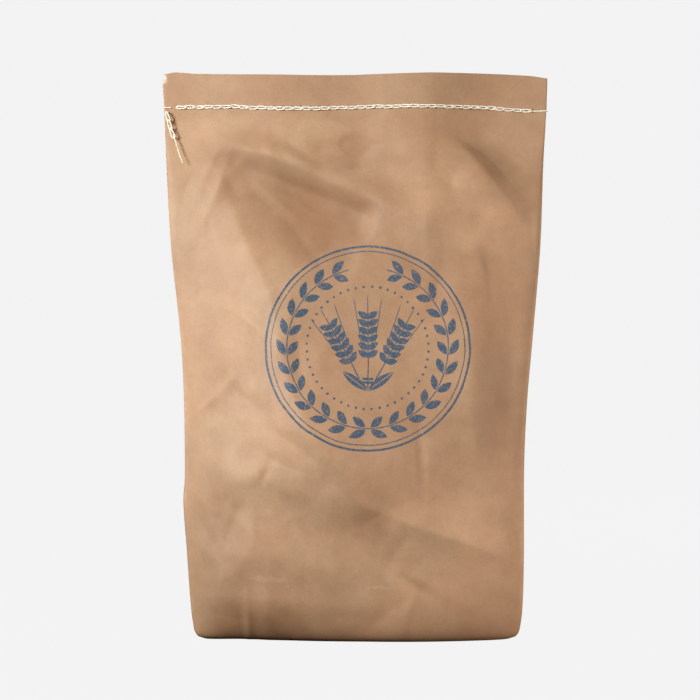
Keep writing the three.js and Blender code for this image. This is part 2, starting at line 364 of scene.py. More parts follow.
def strand(name, route, radius, outward, cuts, t, taper=0.0):
    deselectAll()
    bpy.ops.mesh.primitive_cylinder_add(vertices=t["sideCuts"], radius=1, depth=2)
    tube = bpy.context.object
    tube.name = name
    for count in cuts:
        cutAlong(tube, 2, count)
    x, y, z = readPoints(tube).T
    share = (z + 1) / 2
    length = np.linalg.norm(np.diff(route, axis=0), axis=1).sum()
    turn = np.arctan2(y, x)
    width = radius * (1 - taper * share) * np.where(np.abs(z) > 0.9999, t["endWidth"], 1)
    line = lambda part: follow(route, part * length)
    windThread(tube, line, share, turn, length / t["plyStep"], width, outward, t)
    return tube


def joinAs(name, pieces):
    deselectAll()
    for piece in pieces:
        piece.select_set(True)
    bpy.context.view_layer.objects.active = pieces[0]
    bpy.ops.object.join()
    pieces[0].name = name
    bpy.ops.object.mode_set(mode="EDIT")
    bpy.ops.mesh.select_all(action="SELECT")
    bpy.ops.mesh.normals_make_consistent(inside=False)
    bpy.ops.object.mode_set(mode="OBJECT")
    smoothFaces(pieces[0], 60)
    return pieces[0]


def cottonThread():
    cotton = Finish("cotton_thread")
    fluff = cotton.noise(2600, 3, 0.65)
    darkPatches = cotton.noise(120, 3, 0.6)
    color = cotton.mix(darkPatches.above(0.5, 0.25), (0.86, 0.80, 0.68, 1), (0.74, 0.66, 0.53, 1))
    color = cotton.mix(fluff.above(0.55, 0.2) * 0.35, color, (0.95, 0.91, 0.82, 1))
    normal = cotton.bump(fluff, 0.00006, 0.6)
    return cotton.close({
        "Base Color": color, "Roughness": 0.85, "Specular IOR Level": 0.25, "Normal": normal})


def makeThreadTail(t):
    outward = np.array(t["tailOutward"])
    route = np.array(t["tailRoute"])
    length = np.linalg.norm(np.diff(route, axis=0), axis=1).sum()
    pieces = []
    for count in range(t["tailLoopCount"]):
        start = count * t["tailPitch"]
        line = loopLine(
            route, start, t["tailLoopLength"], t["tailLoopHalfWidth"], t["tailRise"], outward, 0)
        pieces.append(sewLoop("tail_loop", line, t["tailLoopLength"], outward, t))
    chainEnd = t["tailLoopCount"] * t["tailPitch"]
    rest = np.arange(chainEnd, length, t["frontStep"])
    stray, slowness = t["tailStray"]
    waver = stray * np.sin((rest - chainEnd) / slowness)
    places = follow(route, rest)[0] + np.outer(waver, t["tailStrayWay"])
    radius = t["radius"] * t["tailShare"]
    pieces.append(strand("tail_strand", places, radius, outward, t["tailCuts"], t, t["tailTaper"]))
    knot = follow(route, np.array([chainEnd + t["knotRise"]]))[0][0]
    ends = [(knot, t["knotFibre"])] + [(places[-1], reach) for reach in t["tipFibres"]]
    share = np.linspace(0, 1, 8)[:, None]
    for start, reach in ends:
        fibre = start + share * np.array(reach) + share * (1 - share) * t["fibreSag"]
        pieces.append(strand("tail_fibre", fibre, t["fibre"], outward, (4,), t, t["fibreTaper"]))
    tail = joinAs("loose_thread_end", pieces)
    tail.data.materials.append(cotton)
    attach(tail, "root")
    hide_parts("thread_tail")


cotton = cottonThread()
makeThreadTail(threadSizes)
print("thread tail done")

sackSizes = {
    "layFlatWidth": 305,
    "edgeFold": 0.9,
    "baseRadius": 6,
    "curveUnder": 38,
    "footDepth": 0.66,
    "topNominal": 445,
    "seamNominal": 418,
    "pinchReach": 5,
    "wedgeSlope": 0.33,
    "wedgeBlend": 10,
    "swayTop": 395,
    "swayFoot": 300,
    "mouthSlot": 13,
    "frontSettle": 6.6,         # the front sinks under its folds and the back bulges
    "backSettle": -2.7,
    "sideRound": 0.7,
    "columnCuts": (12, 12),
    "rowCuts": (15, 16),
    "layerCuts": 3,
    "rowShares": (-1, -0.82, 0.78, 1),   # the cube's heights of base, base curve, pinch and mouth
    "crowding": 0.6,            # how far the columns crowd towards the side edges
    "frontSeed": 11,
    "backSeed": 47,
    "sideFade": 8,              # how late the folds fade towards the side edges
    "seamFade": 40,             # and how far under the seam
    "leftOutline": [
        (0, 126.5), (20, 129.6), (69, 133.3), (107, 136.0), (128, 134.8), (194, 135.7),
        (241, 138.5), (303, 145.2), (356, 148.6), (418, 151.3), (445, 152.9),
    ],
    "rightOutline": [
        (0, 127.5), (20, 130.4), (60, 131.7), (137, 132.0), (187, 134.4),
        (235, 138.6), (303, 144.4), (374, 148.8), (418, 151.5), (445, 152.4),
    ],
    "sectionPower": [(0, 2.7), (60, 2.3), (150, 2.0), (260, 1.9), (330, 1.8), (418, 1.7)],
    "mouthLine": [
        (-152, 444.4), (-143, 445.6), (-126, 444.5), (-47, 443.4), (-13, 443.6),
        (20, 444.7), (103, 446.4), (138, 445.5), (152, 443.6),
    ],
    "seamLine": [
        (-150, 417.6), (-100, 418.4), (-78, 417.3), (-36, 416.8), (-4, 418.1),
        (20, 418.8), (92, 419.4), (114, 418.8), (140, 417.3), (151, 417.6),
    ],
    "tornLine": [  # how far the left edge is torn in, by height
        (438.0, 0), (439.6, 1.3), (441.2, 3.4), (442.6, 4.4), (443.4, 2.6), (444.2, 1.6), (446, 1.8),
    ],
    "tornReach": 7,
    "tornFrom": 430,
    "gripDepth": 6,             # the folds fade where the panel is shallower than this
    "slotFade": 24,             # how late the mouth's slot closes towards the side edges
    "swayLine": [  # how far the flat top stands back from a plane, from its left to its right edge
        (-154, 1.0), (-140, 1.0), (-115, 0.2), (-80, -1.8), (-60, -2.4), (-30, -0.2), (0, 2.6), (20, 1.8),
        (44, 0.4), (60, 1.0), (84, 7.6), (100, 12.6), (116, 16.4), (136, 18.8), (154, 19.4),
    ],
}

foldSteepness = 1.6             # over 1 is steep at the crest and runs out flat

# Each fold: x, height and lift of points along it, its reach on either hand, and how round it is.
frontFolds = {
    "shoulder ridge": ([
        (-138, 399, 0), (-122, 397, 2), (-104, 391, 6), (-78, 382, 9), (-48, 372, 10), (-22, 360, 9),
        (6, 348, 7), (32, 336, 6), (58, 326, 5), (84, 318, 2), (106, 312, 0)], (52, 32), 1.6),
    "shoulder hollow": ([
        (-110, 382, 0), (-90, 370, -7), (-58, 357, -12), (-24, 344, -12), (4, 332, -8), (16, 324, 0)],
        (20, 80), 4),
    "hollow's right side": ([
        (6, 366, 0), (4, 344, -2), (4, 322, -4), (6, 300, -3), (10, 272, 0)], (60, 60), 4),
    "centre fold": ([(-2, 428, -3), (0, 398, -5), (2, 372, -5), (4, 344, 0)], (48, 46), 3),
    "upper right ridge": ([
        (40, 446, 5), (60, 414, 10), (80, 390, 15), (104, 362, 17), (122, 340, 12), (138, 318, 0)],
        (44, 86), 2),
    "left diagonal ridge": ([
        (-134, 396, 0), (-112, 370, 3), (-98, 338, 7), (-84, 305, 10), (-70, 276, 11), (-62, 245, 11),
        (-55, 210, 13), (-42, 176, 15), (-22, 146, 12), (0, 118, 5), (14, 98, 0)], (70, 62), 2),
    "left swell": ([
        (-136, 156, 0), (-112, 140, 4), (-86, 131, 6), (-58, 122, 6), (-30, 112, 6),
        (0, 105, 4), (26, 98, 0)], (68, 52), 4),
    "right turn": ([
        (70, 296, 0), (80, 268, 3), (88, 236, 5), (88, 204, 6), (88, 170, 5), (96, 138, 3), (104, 112, 0)],
        (36, 44), 4),
    "right trough": ([
        (114, 300, 0), (121, 250, -1), (121, 200, -2), (118, 150, -2), (114, 122, 0)], (14, 24), 5),
    "lower right ridge": ([
        (-26, 124, 0), (0, 111, 5), (28, 99, 8), (60, 87, 9), (90, 77, 9), (116, 66, 7), (136, 56, 0)],
        (64, 34), 2),
    "lower left fold": ([
        (-92, 136, 0), (-84, 110, 2), (-80, 82, 2.4), (-90, 58, 1.6), (-112, 42, 0)], (34, 20), 2),
    "lower left arch": ([
        (-104, 122, 0), (-84, 128, 1.2), (-64, 137, 2), (-44, 131, 1.4), (-24, 118, 0)], (20, 24), 2),
    "base fold": ([(-140, 66, 3), (-80, 66, 5), (0, 54, 4), (80, 46, 3), (140, 44, 2)], (34, 60), 7),
    "bottom left dent": ([
        (-118, -6, -7), (-90, -4, -11), (-62, -6, -8), (-20, -10, -3), (20, -10, 0)], (34, 30), 8),
    "small side crease": ([(-88, 190, 0), (-76, 194, 1.0), (-64, 200, 0)], (9, 14), 1),
}
backFolds = {
    "shoulder ridge": ([
        (136, 380, 0), (104, 384, 6), (70, 374, 7), (20, 352, 5), (-30, 338, 4),
        (-84, 350, 5), (-130, 344, 0)], (36, 46), 1.5),
    "shoulder hollow": ([
        (60, 352, 0), (24, 330, -7), (-10, 316, -9), (-50, 312, -5), (-90, 322, 0)], (44, 34), 6),
    "right diagonal ridge": ([
        (136, 392, 0), (108, 336, 5), (86, 262, 6), (64, 200, 5), (44, 150, 0)], (60, 66), 2),
    "left diagonal ridge": ([
        (-132, 376, 0), (-98, 300, 5), (-80, 228, 6), (-88, 150, 6), (-116, 96, 0)], (60, 54), 2.5),
    "lower fold": ([(124, 66, 0), (62, 92, 6), (0, 78, 5), (-56, 96, 6), (-122, 62, 0)], (34, 42), 1.5),
    "base fold": ([(140, 42, 2), (90, 46, 3), (0, 44, 3), (-90, 47, 3), (-140, 43, 2)], (44, 30), 4),
}
smallFolds = {
    "count": 110,
    "directions": (-1.05, -0.55, 0.9, 1.5),     # most of them run along a few ways
    "spread": 0.30,
    "across": (-125, 125),
    "heights": (12, 405),
    "bow": 0.08,
    "halfLength": (8, 38),
    "lift": (0.8, 2.6),
    "reach": (5, 20),
    "crest": 0.8,
    "swellSize": 52,
    "swell": 0.9,
}


def creaseLift(x, height, route, reach, crest):
    places = np.array(route, float)
    start, chord = places[0, :2], places[-1, :2] - places[0, :2]
    unit = chord / np.hypot(*chord)
    along = (x - start[0]) * unit[0] + (height - start[1]) * unit[1]
    aside = (height - start[1]) * unit[0] - (x - start[0]) * unit[1]
    stations = (places[:, :2] - start) @ unit
    bows = (places[:, 1] - start[1]) * unit[0] - (places[:, 0] - start[0]) * unit[1]
    aside = aside - through(np.stack([stations, bows], 1), along)
    lift = through(np.stack([stations, places[:, 2]], 1), along)
    away = (np.hypot(aside, crest) - crest) / np.where(aside > 0, reach[0], reach[1])
    return lift * np.clip(1 - away, 0, 1) ** foldSteepness


def drawFolds(seed, f):  # faint straight folds that handling has left
    draw = np.random.default_rng(seed)
    for _ in range(f["count"]):
        x, height = draw.uniform(*f["across"]), draw.uniform(*f["heights"])
        turn = draw.choice(f["directions"]) + draw.normal(0, f["spread"])
        half = draw.uniform(*f["halfLength"])
        run = np.array((math.cos(turn), math.sin(turn))) * half
        bow = draw.uniform(-f["bow"], f["bow"]) * half
        lift = draw.uniform(*f["lift"]) * draw.choice((-1, 1)) * half / f["halfLength"][1]
        middle = (x - run[1] / half * bow, height + run[0] / half * bow, lift)
        route = [(x - run[0], height - run[1], 0), middle, (x + run[0], height + run[1], 0)]
        yield route, draw.uniform(*f["reach"], 2), f["crest"]


def sectionDepth(across, power):
    return np.clip(1 - np.abs(across) ** power, 0, 1) ** (1 / power)


def girth(halfWidth, halfDepth, power):
    turn = np.linspace(0, math.pi, 97)
    x = np.sign(np.cos(turn)) * np.abs(np.cos(turn)) ** (2 / power) * halfWidth
    y = np.abs(np.sin(turn)) ** (2 / power) * halfDepth
    return 2 * np.hypot(np.diff(x), np.diff(y)).sum()


def filledHalfDepth(halfWidth, power, layFlat):
    shallow, deep = 0.0, halfWidth
    for _ in range(30):
        middle = (shallow + deep) / 2
        if girth(halfWidth, middle, power) < 2 * layFlat:
            shallow = middle
        else:
            deep = middle
    return shallow


def halfDepthTable(s):  # half the sack's depth at each whole millimetre of height
    heights = np.arange(0, s["topNominal"] + 1, 1.0)
    pinch = s["seamNominal"] - s["pinchReach"]
    widths = (through(s["leftOutline"], heights) + through(s["rightOutline"], heights)) / 2
    powers = through(s["sectionPower"], heights)
    filled = np.array([filledHalfDepth(w, p, s["layFlatWidth"]) for w, p in zip(widths, powers)])
    wedge = (pinch - heights) * s["wedgeSlope"]
    depth = 0.5 * (filled + wedge - np.hypot(filled - wedge, s["wedgeBlend"]))
    drop = np.clip(1 - heights / s["curveUnder"], 0, 1)
    under = s["footDepth"] + (1 - s["footDepth"]) * np.sqrt(1 - drop ** 2)
    return heights, np.where(heights < pinch, np.clip(depth, 0, None), 0) * under


def swayAt(x, height, s):
    return ease(height, s["swayFoot"], s["swayTop"]) * through(s["swayLine"], x)


def panelRelief(x, height, across, folds, seed, settle, s):
    lift = smallFolds["swell"] * softNoise(x, height, smallFolds["swellSize"], seed)
    for fold in list(folds.values()) + list(drawFolds(seed, smallFolds)):
        lift = lift + creaseLift(x, height, *fold)
    fromSides = 1 - np.abs(across) ** s["sideFade"]
    fromSeam = 1 - ease(height, s["seamNominal"] - s["seamFade"], s["seamNominal"] - s["pinchReach"])
    return (lift - settle) * fromSides * fromSeam


def rememberFolds(piece, lift):  # for the paper's colour, which has painted shade in the hollows
    folds = piece.data.attributes.new("folds", "FLOAT", "POINT")
    folds.data.foreach_set("value", lift)


def makeSack(s):
    deselectAll()
    bpy.ops.mesh.primitive_cube_add(size=2)
    sack = bpy.context.object
    sack.name = "paper_sack"
    for cuts in s["columnCuts"]:
        cutAlong(sack, 0, cuts)
    for cuts in s["rowCuts"]:
        cutAlong(sack, 2, cuts)
    cutAlong(sack, 1, s["layerCuts"])
    u, w, v = readPoints(sack).T
    pinch = s["seamNominal"] - s["pinchReach"]
    height = np.interp(v, s["rowShares"], (0, s["curveUnder"], pinch, s["topNominal"]))
    topShare = ease(height, s["seamNominal"], s["topNominal"])
    across = (1 - s["crowding"]) * u + s["crowding"] * np.sin(u * math.pi / 2)
    power = through(s["sectionPower"], height)
    drop = np.clip(1 - height / s["baseRadius"], 0, 1)
    inset = s["baseRadius"] * (1 - np.sqrt(1 - drop ** 2))
    left = through(s["leftOutline"], height) - inset
    right = through(s["rightOutline"], height) - inset
    x = (right - left) / 2 + across * (right + left) / 2
    z = height + topShare * (through(s["mouthLine"], x) - s["topNominal"])
    inMouth = (np.abs(w) < 0.1) & (v > 0.999)
    z = z - np.where(inMouth, s["mouthSlot"] * (1 - np.abs(u) ** s["slotFade"]), 0)
    torn = through(s["tornLine"], z) * np.exp(-(x + left) / s["tornReach"])
    x = x + np.where(height > s["tornFrom"], torn, 0)
    heights, depths = halfDepthTable(s)
    halfDepth = np.interp(height, heights, depths)
    bulge = sectionDepth(across, power) * halfDepth
    grip = np.clip(bulge / s["gripDepth"], 0, 1)
    frontLift = grip * panelRelief(x, height, across, frontFolds, s["frontSeed"], s["frontSettle"], s)
    backLift = grip * panelRelief(x, height, across, backFolds, s["backSeed"], s["backSettle"], s)
    front, back = bulge + frontLift, bulge + backLift
    front, back = s["edgeFold"] + np.clip(front, 0, None), s["edgeFold"] + np.clip(back, 0, None)
    y = swayAt(x, height, s) + np.where(w < 0, front, back) * w
    x = x + np.where(np.abs(u) > 0.999, np.sign(u) * s["sideRound"] * (1 - w ** 2), 0)
    writePoints(sack, np.stack([x, y, z], 1) * mm)
    foldsAlone = np.where(w < 0, frontLift + s["frontSettle"], backLift + s["backSettle"])
    rememberFolds(sack, foldsAlone * np.abs(w))
    smoothFaces(sack, 50)
    return sack


stampPlan = {
    "middle": (8.9, 228.3),
    "outerRing": 78.8,
    "outerLine": 0.85,
    "thinRing": 74.8,
    "thinLine": 0.4,
    "wreathRing": 62.0,
    "wreathCells": 13,          # on each half of the wreath
    "wreathKernel": (6.6, 3.0, 4.6, 0.55),   # half length, half width, distance from the stalk, lean
    "wreathOpening": 0.2417,    # half the gap at the top, one cell wide
    "dotRing": 47.0,
    "dotCount": 48,
    "dotRadius": 1.0,
    "ears": ((0.0, 1.0, 0.0), (-17.5, -4.0, 0.50), (17.5, -4.0, -0.50)),   # x, lift and lean of each ear
    "earFoot": -32.0,
    "earStart": -9.0,
    "earTop": 27.0,
    "kernelStep": 6.0,
    "earKernel": (5.2, 2.5, 3.4, 1.0),
    "wreathStalk": 0.45,        # half width of each thin line
    "earStalk": 0.5,
    "beard": 0.35,
    "groove": 0.4,
    "vein": 0.3,
    "beardSlope": 0.16,
    "beardFoot": 3.4,
    "beardReach": (3, 9),       # from above the first kernel to past the last
    "tipReach": 11,
    "tie": (-25.5, 4.2, 2.4),       # height of its middle, half width, half height
    "leaf": (13.0, 3.4, -26.0, 0.62),   # half length, half width, height and lean of the two leaves
    "ink": (0.025, 0.066, 0.114, 1),
    "blur": 0.22,
}


def inkLine(distance, half, blur):
    return abs(distance).below(half, blur)


def inkKernel(along, across, size, blur):  # a pointed oval that leans away from its stalk
    halfLength, halfWidth, away, lean = size
    out = abs(across) - away
    turned = along * math.cos(lean) + out * math.sin(lean)
    thick = out * math.cos(lean) - along * math.sin(lean)
    body = turned / halfLength
    width = (1 - body * body) * halfWidth
    return (abs(thick) - width).below(0, blur)


def inkWreath(x, z, radius, p):
    turn = x.math("ARCTAN2", z)  # 0 at the top, growing to both sides
    length = abs(turn) * p["wreathRing"]
    step = math.pi * p["wreathRing"] / p["wreathCells"]
    along = length % step - step / 2
    across = radius - p["wreathRing"]
    kernels = inkKernel(along * -1, across, p["wreathKernel"], p["blur"])
    stalk = inkLine(across, p["wreathStalk"], p["blur"])
    opening = abs(turn).above(p["wreathOpening"], 0.004)
    return kernels.most(stalk) * opening


def inkEar(x, z, place, p):
    shift, lift, lean = place
    across = (x - shift) * math.cos(lean) + (z - lift) * math.sin(lean)
    along = (z - lift) * math.cos(lean) - (x - shift) * math.sin(lean)
    step = p["kernelStep"]
    cell = (along - p["earStart"]) % step - step / 2
    inEar = along.above(p["earStart"], 0.1) * along.below(p["earTop"], 0.1)
    kernels = inkKernel(cell, across, p["earKernel"], p["blur"]) * inEar
    stalk = inkLine(across, p["earStalk"], p["blur"])
    stalk = stalk * along.above(p["earFoot"], 0.3) * along.below(p["earTop"], 0.3)
    spread = abs(across) - (along - p["earStart"]) * p["beardSlope"] - p["beardFoot"]
    beards = inkLine(spread, p["beard"], p["blur"])
    above, past = p["beardReach"]
    beards = beards * along.above(p["earStart"] + above, 0.3) * along.below(p["earTop"] + past, 3)
    tip = inkLine(across, p["beard"], p["blur"])
    tip = tip * along.above(p["earTop"], 0.3) * along.below(p["earTop"] + p["tipReach"], 3)
    return kernels.most(stalk).most(beards).most(tip)


def inkTie(x, z, p):  # the band that holds the ears together, and two leaves beside their foot
    middle, halfWidth, halfHeight = p["tie"]
    band = abs(x).below(halfWidth, p["blur"]) * abs(z - middle).below(halfHeight, p["blur"])
    groove = inkLine(z - middle, p["groove"], p["blur"])
    length, width, lift, lean = p["leaf"]
    out = abs(x) - length * 0.75
    along = out * math.cos(lean) + (z - lift) * math.sin(lean)
    across = (z - lift) * math.cos(lean) - out * math.sin(lean)
    body = along / length
    leaf = (abs(across) - (1 - body * body) * width).below(0, p["blur"])
    vein = inkLine(across, p["vein"], p["blur"])
    return (band - groove).most(leaf - vein)


def stampInk(paper, p):
    waver = (paper.noise(38, 2, 0.5) - 0.5) * 2.2
    rough = (paper.noise(900, 2, 0.6) - 0.5) * 0.9
    x = paper.axis("X") - p["middle"][0] + waver
    z = paper.axis("Z") - p["middle"][1] + waver * 0.6
    radius = (x * x + z * z) ** 0.5 + rough
    outer = inkLine(radius - p["outerRing"], p["outerLine"], p["blur"])
    thin = inkLine(radius - p["thinRing"], p["thinLine"], p["blur"])
    turn = x.math("ARCTAN2", z) * (p["dotCount"] / (2 * math.pi))
    dotSide = (turn % 1 - 0.5) * (2 * math.pi * p["dotRing"] / p["dotCount"])
    dotOut = radius - p["dotRing"]
    dots = ((dotSide * dotSide + dotOut * dotOut) ** 0.5).below(p["dotRadius"], p["blur"])
    marks = outer.most(thin).most(dots).most(inkWreath(x, z, radius, p))
    for ear in p["ears"]:
        marks = marks.most(inkEar(x, z, ear, p))
    marks = marks.most(inkTie(x, z, p))
    worn = paper.noise(650, 3, 0.7).above(0.36, 0.14)
    patchy = paper.noise(60, 3, 0.6).above(0.30, 0.20)
    return marks * worn * (0.78 + 0.18 * patchy) * paper.axis("Y").below(0, 0.5)


kraftSizes = {
    "blotch": {"scale": 11, "detail": 4, "rough": 0.55},
    "mottle": {"scale": 70, "detail": 4, "rough": 0.62, "offset": (3, 1, 2)},
    "fibre": {"scale": 520, "detail": 3, "rough": 0.6, "stretch": (1, 1, 0.45)},
    "grain": {"scale": 1500, "detail": 2, "rough": 0.6},
    "rosy": {"scale": 17, "detail": 3, "rough": 0.5, "offset": (7, 5, 3)},
    "specks": {"scale": 1100, "detail": 2, "rough": 0.5, "offset": (1, 9, 4)},
    "scuffEdge": {"scale": 220, "detail": 3, "rough": 0.7},
    "patchEdge": {"scale": 26, "detail": 3, "rough": 0.6, "offset": (2, 4, 6)},
    "lapBump": (0.0005, 0.9),   # height in metres and strength of each layer of relief
    "mottleBump": (0.0006, 0.2),
    "fibreBump": (0.00010, 0.4),
    "grainBump": (0.00004, 0.5),
    "lap": 20.0,                # the back's pasted lap, from this x
    "lapWidth": 26.0,
    "flapEdge": 11.0,           # the two long flaps under the base
    "flapCorner": 96.0,
    "tornCorner": (-150.0, 441.0),
    "holeReach": 0.75,
    "holeRow": (418.2, 142),    # height of the needle holes, and how far out they go
    "scuffRagged": 9,
    "patchRagged": 1.3,
    "scuffs": ((-68.0, 50.5, 21.0, 2.2), (18.0, 44.0, 15.0, 1.8)),   # x, height, half length, half width
    "darkPatches": [                 # x, height, half width, half height and strength of each darker patch: painted shade, partly soiled paper
        (128, 410, 52, 54, 0.8), (-92, 387, 34, 18, 0.75), (-112, 60, 44, 62, 0.6),
        (104, 12, 60, 30, 0.45), (18, 346, 22, 16, 0.6), (104, 206, 18, 66, 0.4),
        (-28, 434, 60, 22, 0.35), (-60, 36, 60, 30, 0.3),
    ],
    "rubbedAndLitPatches": [                 # and of each paler one: painted light and sheen, partly rubbed paper
        (-112, 214, 40, 66, 0.85), (-36, 392, 52, 20, 0.8), (112, 104, 40, 60, 0.8),
        (104, 322, 34, 22, 0.8), (62, 352, 34, 24, 0.7), (-56, 150, 46, 30, 0.7),
        (-116, 400, 36, 18, 0.5), (-46, 112, 40, 18, 0.6),
    ],
    # tints of the darker and paler patches: painted shade and painted light, partly soiled and rubbed
    # paper
    "soiledAndShadedTint": (0.78, 0.71, 0.64, 1),
    "rubbedAndLitTint": (1.19, 1.21, 1.23, 1),
    "rosyTint": (1.0, 0.95, 0.93, 1),
    # painted shade in the hollows
    "hollowShadeTint": (0.78, 0.72, 0.66, 1),
    # painted shade towards the bottom
    "footShadeTint": (0.70, 0.62, 0.54, 1),
    "tones": [(0.38, (0.325, 0.186, 0.100, 1)), (0.60, (0.432, 0.262, 0.150, 1))],
    "speck": (0.22, 0.11, 0.055, 1),
    "barePaper": (0.66, 0.50, 0.36, 1),
    "tornPaper": (0.66, 0.53, 0.40, 1),
    "holeShade": (0.10, 0.055, 0.03, 1),
}


def lapStep(paper, k):  # the sheets' pasted edges: down the back and under the base
    x, y, z = paper.axis("X"), paper.axis("Y"), paper.axis("Z")
    lap = x.above(k["lap"], 0.25) * x.below(k["lap"] + k["lapWidth"], 9) * y.above(2, 1)
    under = z.below(0.6, 0.4)
    flap = y.above(-k["flapEdge"], 0.25) * (abs(x) + abs(y) * 0.9).below(k["flapCorner"], 0.3)
    return lap + under * flap


def needleHoles(paper, t, k):
    cell = (paper.axis("X") - t["firstHole"]) % t["pitch"]
    aside = cell.least(t["pitch"] - cell)
    height, outmost = k["holeRow"]
    rise = paper.axis("Z") - height
    near = ((aside * aside + rise * rise * 0.5) ** 0.5).below(k["holeReach"], 0.35)
    return near * abs(paper.axis("X")).below(outmost, 1)


def scuffed(paper, k):
    ragged = (paper.noise(**k["scuffEdge"]) - 0.5) * k["scuffRagged"]
    marks = None
    for x, height, halfLength, halfWidth in k["scuffs"]:
        along = (paper.axis("X") - x) / halfLength
        across = (paper.axis("Z") - height + ragged) / halfWidth
        mark = (along * along + across * across).below(0.6, 0.45)
        marks = mark if marks is None else marks.most(mark)
    return marks * paper.axis("Y").below(0, 0.5)


def softPatches(paper, patches, k):  # ragged ellipses on the front
    ragged = (paper.noise(**k["patchEdge"]) - 0.5) * k["patchRagged"]
    strongest = None
    for x, height, halfWidth, halfHeight, strength in patches:
        aside = (paper.axis("X") - x) / halfWidth
        rise = (paper.axis("Z") - height) / halfHeight
        patch = (aside * aside + rise * rise + ragged).below(0.75, 0.75) * strength
        strongest = patch if strongest is None else strongest.most(patch)
    return strongest * paper.axis("Y").below(0, 0.5)


def paperTone(paper, blotch, mottle, fibre, grain, k):  # the paper's own uneven brown
    shade = 0.46 * blotch + 0.26 * mottle + 0.12 * fibre + 0.16 * grain
    color = paper.add("ShaderNodeValToRGB", {"stops": k["tones"]}, {"Fac": shade})
    rosy = paper.noise(**k["rosy"]).above(0.5, 0.14)
    return paper.mix(rosy, color, k["rosyTint"], "MULTIPLY")


def shadedAndWornTone(paper, color, k):  # painted shade in the hollows and towards the bottom, and patches of painted shade and painted light that are partly soiled and rubbed paper
    folds = paper.add("ShaderNodeAttribute", {"attribute_name": "folds"}, output="Fac")
    # painted shade: the paper is darker where the folds sink into hollows
    color = paper.mix(folds.below(-1, 8), color, k["hollowShadeTint"], "MULTIPLY")
    # painted shade and painted light: darker and paler patches where the folds give too little, partly
    # soiled and rubbed paper
    color = paper.mix(softPatches(paper, k["darkPatches"], k), color, k["soiledAndShadedTint"], "MULTIPLY")
    color = paper.mix(softPatches(paper, k["rubbedAndLitPatches"], k), color, k["rubbedAndLitTint"], "MULTIPLY")
    specks = paper.noise(**k["specks"]).above(0.67, 0.03)
    color = paper.mix(specks * 0.45, color, k["speck"])
    color = paper.mix(scuffed(paper, k) * 0.09, color, k["barePaper"])
    # painted shade: the paper is darker towards the bottom, where the sack curves under
    foot = paper.axis("Z").below(12, 22)
    return paper.mix(foot * 0.5, color, k["footShadeTint"], "MULTIPLY")


def tornTone(paper, grain, color, k):  # the paler edge of the torn corner
    cornerX, cornerZ = k["tornCorner"]
    torn = (paper.axis("X") + (grain - 0.5) * 5).below(cornerX, 1.2)
    torn = torn * paper.axis("Z").above(cornerZ - 4, 1.5)
    return paper.mix(torn * 0.8, color, k["tornPaper"])


def kraftPaper(k, t):
    paper = Finish("kraft_paper")
    blotch = paper.noise(**k["blotch"])
    mottle = paper.noise(**k["mottle"])
    fibre = paper.noise(**k["fibre"])
    grain = paper.noise(**k["grain"])
    color = shadedAndWornTone(paper, paperTone(paper, blotch, mottle, fibre, grain, k), k)
    color = tornTone(paper, grain, color, k)
    color = paper.mix(needleHoles(paper, t, k) * 0.8, color, k["holeShade"])
    color = paper.mix(stampInk(paper, stampPlan), color, stampPlan["ink"])
    normal = paper.bump(lapStep(paper, k), *k["lapBump"])
    normal = paper.bump(mottle, *k["mottleBump"], normal)
    normal = paper.bump(fibre, *k["fibreBump"], normal)
    normal = paper.bump(grain, *k["grainBump"], normal)
    return paper.close({
        "Base Color": color, "Roughness": 0.66, "Specular IOR Level": 0.45, "Normal": normal})


sack = makeSack(sackSizes)
sack.data.materials.append(kraftPaper(kraftSizes, threadSizes))
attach(sack, "root")
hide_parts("sack")
print("sack done")


def seamRoute(t, s):  # along the paper's front face, from right to left
    x = np.arange(t["firstHole"], t["seamEnd"], -t["frontStep"])
    height = through(s["seamLine"], x)
    return np.stack([x, swayAt(x, height, s) - s["edgeFold"], height], 1)


def needleLine(t, s):  # round the right edge, along the back, and round the left edge to the front
    holes = t["firstHole"] - t["pitch"] * np.arange(t["loopCount"] + 1)
    out = s["edgeFold"] + t["radius"]
    right = through(s["rightOutline"], s["seamNominal"]) + s["sideRound"] + t["edgeGap"]
    left = -through(s["leftOutline"], s["seamNominal"]) - s["sideRound"] - t["edgeGap"]
    right, left = right - t["turnStart"], left + t["turnStart"]
    toRight = np.arange(t["firstHole"], right, t["frontStep"])
    toLeft = np.arange(right, left, -t["backStep"])
    dips = np.exp(-(np.subtract.outer(toLeft, holes) / t["dipReach"]) ** 2).sum(1)
    firstDip = np.exp(-((toRight - t["firstHole"]) / t["dipReach"]) ** 2)
    turn = np.linspace(-math.pi / 2, math.pi / 2, 9)[1:-1]
    toEnd = np.arange(left, t["needleEnd"], t["frontStep"])
    roundRight, roundLeft = right + np.cos(turn) * t["turnDepth"], left - np.cos(turn) * t["turnDepth"]
    x = np.concatenate([toRight, roundRight, toLeft, roundLeft, toEnd])
    y = np.concatenate([
        firstDip - out, np.sin(turn) * out, out - t["dipDepth"] * dips, -np.sin(turn) * out,
        np.full(len(toEnd), -out)])
    stray, slowness = t["needleStray"]
    height = through(s["seamLine"], x) + stray * np.sin(x / slowness)
    return np.stack([x, y + swayAt(x, height, s), height], 1)


